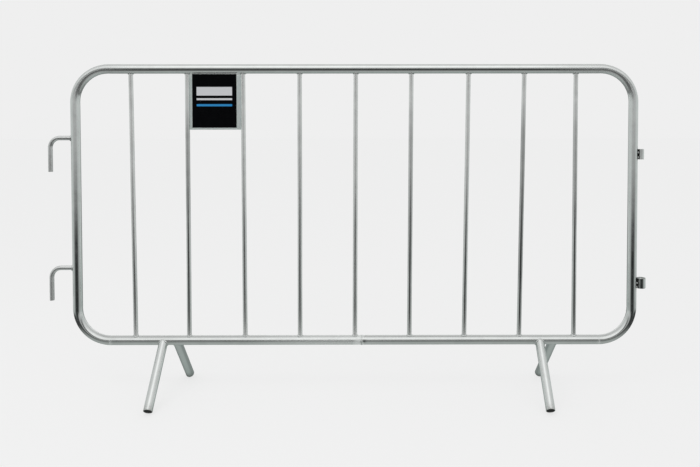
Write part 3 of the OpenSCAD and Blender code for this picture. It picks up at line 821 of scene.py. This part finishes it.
def make_legs():
    n = 72
    phi = np.linspace(0, 2 * math.pi, n, endpoint=False)
    welds = Shell()
    for seed, (name, (x, side, lean)) in enumerate(LEGS.items()):
        o = np.array([FRAME_X + x, 0, RAIL_Z])
        d, u, v, full = leg_axes(side, lean)
        t0 = saddle(phi, o, d, u, v, LEG_R, o, X, TUBE_R - 0.25 * MM, 1)
        shell = Shell()

        def scuff(t, full=full):
            return np.clip((np.asarray(t) - (full - 26 * MM)) / (26 * MM), 0, 1) ** 1.6

        under = np.clip((-(np.outer(np.cos(phi), u) + np.outer(np.sin(phi), v))[:, 2] - 0.2) / 0.4, 0, 1)

        # painted shade: the leg's underside is painted darker towards the foot, standing in for the shade where it
        # meets the floor
        def foot_shade(t, full=full, under=under):
            return 0.60 * under * np.exp(-((full - np.asarray(t)) / (26 * MM)) ** 2)

        tube_between(shell, o, d, u, v, LEG_R, LEG_R - TUBE_WALL, t0, full + 0 * phi, n, 9 * MM, 20 + seed, ripple=0.04 * MM, wear=scuff, lip=0.28 * MM, soot=foot_shade)
        shell.build(name + "_leg_finish", [name + "_leg"], "zinc_tube", TUBE)

        ph = np.linspace(0, 2 * math.pi, 360, endpoint=False)
        out = np.outer(np.cos(ph), u) + np.outer(np.sin(ph), v)
        p = o + LEG_R * out + np.outer(saddle(ph, o, d, u, v, LEG_R, o, X, TUBE_R, 1), d)
        nb = p - o
        nb = unit(nb - np.outer(nb @ X, X))
        # a full fillet at the leg's sides, and a low one where the two tubes run nearly flush
        flush = (out * nb).sum(1) ** 2
        fat = (3.1 - 0.7 * flush + 0.3 * wander(ph / (2 * math.pi), 80 + seed, closed=True, low=1, high=4)) * MM
        bead(welds, p, out, nb, fat, (0.2 - 1.75 * flush) * MM, 2.6 * MM, 90 + seed, start=0.1 + 0.21 * seed)

        fit = LEG_R - TUBE_WALL - 0.05 * MM
        stem = fit - 1.6 * MM
        face = full - 0.6 * MM
        # outline of the plug as (radius, depth from the face, wear), with a shallow dish, a step and a moulding pip
        outline = [(0.55, 0.28, 0.2), (0.95, 0.30, 0.2), (1.15, 0.52, 0.2), (3.2, 0.52, 0.3), (8.2, 0.46, 0.4), (8.6, 0.16, 0.6), (10.8, 0.02, 0.8), (12.2, 0.0, 1.0), (13.0, 0.16, 1.0), (13.6, 0.6, 0.8), (fit / MM, 1.25, 0.4),
                   (fit / MM, 3.2, 0), (stem / MM, 3.6, 0), (stem / MM, 7, 0), (fit / MM, 8, 0), (stem / MM, 9, 0), (stem / MM, 12, 0), (fit / MM, 13, 0), (stem / MM, 14, 0), (stem / MM, 17, 0),
                   (stem / MM - 1.6, 17, 0), (stem / MM - 1.6, 2.6, 0)]
        shell = Shell()
        cs, sn = section(56)
        rings = []
        for r, depth, w in outline:
            q = o + (face - depth * MM) * d + r * MM * (np.outer(cs, u) + np.outer(sn, v))
            rings.append(shell.ring(q, q, w))
        for a, b in zip(rings, rings[1:]):
            shell.skin(a, b)
        shell.cap(rings[0], o + (face - 0.28 * MM) * d)
        shell.cap(rings[-1], o + (face - 2.6 * MM) * d)
        shell.build(name + "_foot_plug_finish", [name + "_foot_plug"], "plug_plastic", PLUG)
    welds.build("leg_welds_finish", ["leg_welds"], "weld_metal", WELD)


PLATE_X0, PLATE_X1 = bar_ends(2)[1][0] + BAR_R, bar_ends(3)[1][0] - BAR_R
make_frame()
make_bars()
make_plate()
make_hooks()
make_eyes()
make_legs()

# ------------------------------------------------------------------ stage, light and camera

scene = bpy.context.scene
scene.view_settings.view_transform = "Standard"

BACK = 0.863  # the plain pale backdrop


def make_stage():
    mesh = bpy.data.meshes.new("floor")
    s = 24.0
    mesh.from_pydata([(-s, -s, 0), (s, -s, 0), (s, s, 0), (-s, s, 0)], [], [(0, 1, 2, 3)])
    floor = bpy.data.objects.new("floor", mesh)
    scene.collection.objects.link(floor)
    floor.location.z = -0.0006
    p = Paint("floor_paper")
    p.tree.nodes.remove(p.bsdf)
    glow = p.node("ShaderNodeEmission")
    glow.inputs["Color"].default_value = (1, 1, 1, 1)
    glow.inputs["Strength"].default_value = BACK * 1.032
    paper = p.node("ShaderNodeBsdfDiffuse")
    paper.inputs["Color"].default_value = (0.99, 0.99, 0.99, 1)
    both = p.node("ShaderNodeMixShader")
    both.inputs[0].default_value = 0.22
    p.link(glow.outputs[0], both.inputs[1])
    p.link(paper.outputs[0], both.inputs[2])
    clear = p.node("ShaderNodeBsdfTransparent")
    sides = p.node("ShaderNodeMixShader")
    p.link(p.node("ShaderNodeNewGeometry").outputs["Backfacing"], sides.inputs[0])
    p.link(both.outputs[0], sides.inputs[1])
    p.link(clear.outputs[0], sides.inputs[2])
    p.link(sides.outputs[0], p.out.inputs[0])
    mesh.materials.append(p.mat)
    floor.visible_glossy = False

    # the lit paper close round the feet, as the metal mirrors it: it fades out into the darker room
    mesh = bpy.data.meshes.new("floor_sheen")
    mesh.from_pydata([(-5, -3, 0), (5, -3, 0), (5, 3, 0), (-5, 3, 0)], [], [(0, 1, 2, 3)])
    sheen = bpy.data.objects.new("floor_sheen", mesh)
    scene.collection.objects.link(sheen)
    sheen.location.z = -0.0012
    p = Paint("floor_sheen")
    p.tree.nodes.remove(p.bsdf)
    axes = p.node("ShaderNodeSeparateXYZ")
    p.link(p.place(), axes.inputs[0])
    side = p.fit(p.math("ABSOLUTE", axes.outputs["X"]), 1.08, 1.36, 1.0, 0.0)
    near = p.math("ADD", p.fit(axes.outputs["Y"], -0.98, -0.68, 0.0, 0.5), p.fit(axes.outputs["Y"], -0.5, 0.0, 0.0, 0.5))
    near = p.math("MULTIPLY", near, p.fit(axes.outputs["Y"], 0.02, 0.17, 1.0, 0.48))
    mask = p.math("MULTIPLY", p.math("MULTIPLY", near, p.fit(axes.outputs["Y"], 0.9, 2.0, 1.0, 0.0)), side)
    glow = p.node("ShaderNodeEmission")
    p.link(p.mix(p.fit(axes.outputs["Y"], 0.02, 0.14, 0.0, 1.0), (0.945, 1.0, 0.975, 1), (0.885, 1.0, 0.965, 1)), glow.inputs["Color"])
    glow.inputs["Strength"].default_value = 0.41
    fade = p.node("ShaderNodeMixShader")
    p.link(mask, fade.inputs[0])
    p.link(p.node("ShaderNodeBsdfTransparent").outputs[0], fade.inputs[1])
    p.link(glow.outputs[0], fade.inputs[2])
    p.link(fade.outputs[0], p.out.inputs[0])
    mesh.materials.append(p.mat)
    sheen.visible_camera = sheen.visible_diffuse = sheen.visible_transmission = sheen.visible_shadow = False


def make_world():
    """A plain pale backdrop, and round it a studio: light overhead, brightest above the camera, paler sides, a dark floor in front."""
    world = bpy.data.worlds.new("studio")
    scene.world = world
    world.use_nodes = True
    t = world.node_tree
    t.nodes.clear()
    new, link = t.nodes.new, t.links.new
    way = new("ShaderNodeTexCoord").outputs["Generated"]
    axes = new("ShaderNodeSeparateXYZ")
    link(way, axes.inputs[0])

    def calc(op, a, b=0.0, c=0.0):
        n = new("ShaderNodeMath")
        n.operation = op
        for i, x in enumerate((a, b, c)):
            if hasattr(x, "is_output"):
                link(x, n.inputs[i])
            else:
                n.inputs[i].default_value = x
        return n.outputs[0]

    def ramp(fac, stops):
        n = new("ShaderNodeValToRGB")
        els = n.color_ramp.elements
        while len(els) > 1:
            els.remove(els[-1])
        for k, (pos, col) in enumerate(stops):
            e = els[0] if k == 0 else els.new(pos)
            e.position, e.color = pos, (*col, 1.0)
        link(fac, n.inputs[0])
        return n.outputs[0]

    def by_height(rows):
        """Stops from (degrees above the horizon, level, greenness)."""
        return [((1 + math.sin(math.radians(e))) / 2, (v * (1 - 0.13 * g), v, v * (1 - 0.035 * g))) for e, v, g in rows]

    up = calc("ADD", calc("MULTIPLY_ADD", axes.outputs["Z"], 0.5, 0.5), calc("MULTIPLY", axes.outputs["X"], -0.008))
    flat = calc("SQRT", calc("ADD", calc("MULTIPLY", axes.outputs["X"], axes.outputs["X"]), calc("MULTIPLY", axes.outputs["Y"], axes.outputs["Y"])))
    ahead = calc("DIVIDE", axes.outputs["Y"], calc("MAXIMUM", flat, 1e-4))
    front = ramp(up, by_height([(-90, 0.36, 0.4), (-68, 0.34, 0.3), (-53, 0.30, 0.1), (-43, 0.15, 0.1), (-34, 0.055, 0.2), (-28, 0.036, 0.4), (-15, 0.024, 0.6), (-10.0, 0.024, 0.6), (-8.7, 0.06, 0.2), (-7.4, 0.17, 0.1), (-6, 0.28, 0.1), (-3, 0.40, 0.1), (0, 0.48, 0.1),
                                (2.5, 0.46, 0.05), (5, 0.22, 0), (7, 0.08, 0), (12, 0.07, 0), (14.5, 0.18, 0), (19, 0.68, 0), (24, 0.93, 0), (30, 1.0, 0), (48, 1.08, 0), (64, 1.06, 0), (74, 1.0, 0), (84, 0.74, 0), (90, 0.60, 0)]))
    around = ramp(up, by_height([(-90, 0.36, 0.6), (-62, 0.30, 0.5), (-46, 0.10, 0.4), (-36, 0.05, 0.4), (-20, 0.06, 0.4), (-15.5, 0.48, 0.4), (-12, 0.57, 0.4), (0, 0.62, 0.3), (15, 0.62, 0.2), (35, 0.62, 0.1), (55, 0.64, 0), (75, 0.66, 0), (90, 0.60, 0)]))
    rear = ramp(up, by_height([(-90, 0.36, 1), (-45, 0.26, 0.8), (-24, 0.14, 0.4), (-10, 0.15, 0.3), (-3, 0.36, 0.2), (4, 0.60, 0.1), (14, 0.92, 0), (28, 0.92, 0), (40, 0.74, 0), (48, 0.66, 0), (60, 0.64, 0), (72, 0.62, 0), (82, 0.56, 0), (90, 0.60, 0)]))

    def blend(fac, a, b):
        n = new("ShaderNodeMix")
        n.data_type = "RGBA"
        link(fac, n.inputs[0]); link(a, n.inputs[6]); link(b, n.inputs[7])
        return n.outputs[2]

    def step(value, low, high):
        n = new("ShaderNodeMapRange")
        n.interpolation_type = "SMOOTHSTEP"
        link(value, n.inputs[0])
        n.inputs[1].default_value, n.inputs[2].default_value = low, high
        return n.outputs[0]

    facing = ramp(calc("MULTIPLY_ADD", ahead, -0.5, 0.5), [((1 + c) / 2, (f, f, f)) for c, f in ((-0.20, 0.0), (0.17, 0.08), (0.50, 0.32), (0.70, 0.49), (0.82, 0.83), (0.90, 0.95), (1.0, 1.0))])
    light = blend(facing, around, front)
    light = blend(step(ahead, 0.55, 0.98), light, rear)
    room, paper, pick = new("ShaderNodeBackground"), new("ShaderNodeBackground"), new("ShaderNodeMixShader")
    link(light, room.inputs[0])
    paper.inputs[0].default_value = (BACK, BACK, BACK, 1)
    link(new("ShaderNodeLightPath").outputs["Is Camera Ray"], pick.inputs[0])
    link(room.outputs[0], pick.inputs[1])
    link(paper.outputs[0], pick.inputs[2])
    link(pick.outputs[0], new("ShaderNodeOutputWorld").inputs[0])


def make_light(name, place, target, size, power):
    """A softbox. It lights the floor and softens the shadows; the world alone is mirrored in the metal."""
    data = bpy.data.lights.new(name, "AREA")
    data.shape, data.size, data.size_y, data.energy = "RECTANGLE", size[0], size[1], power
    lamp = bpy.data.objects.new(name, data)
    scene.collection.objects.link(lamp)
    lamp.location = place
    lamp.rotation_euler = (Vector(target) - Vector(place)).to_track_quat("-Z", "Y").to_euler()
    lamp.visible_glossy = False


def make_camera():
    data = bpy.data.cameras.new("camera")
    data.sensor_width, data.sensor_fit = 36.0, "HORIZONTAL"
    data.lens = 38.956
    data.shift_x, data.shift_y = -0.0438, -0.143
    data.clip_start, data.clip_end = 0.05, 200.0
    cam = bpy.data.objects.new("camera", data)
    scene.collection.objects.link(cam)
    yaw, pitch, roll = (math.radians(a) for a in (-0.218, -1.8, 0.038))
    turn = Matrix.Rotation(yaw, 3, "Z") @ Matrix.Rotation(pitch, 3, "X") @ Matrix.Rotation(roll, 3, "Y")
    right, ahead, up = turn.col[0], turn.col[1], turn.col[2]
    m = Matrix((right, up, -ahead)).transposed().to_4x4()
    m.translation = Vector((FRAME_X + 0.0812, -2.6723, RAIL_Z + 0.8190))
    cam.matrix_world = m
    scene.camera = cam


make_stage()
make_world()
make_light("key_softbox", (-1.3, -2.6, 3.4), (0, 0, 0.7), (2.4, 1.2), 26.0)
make_camera()
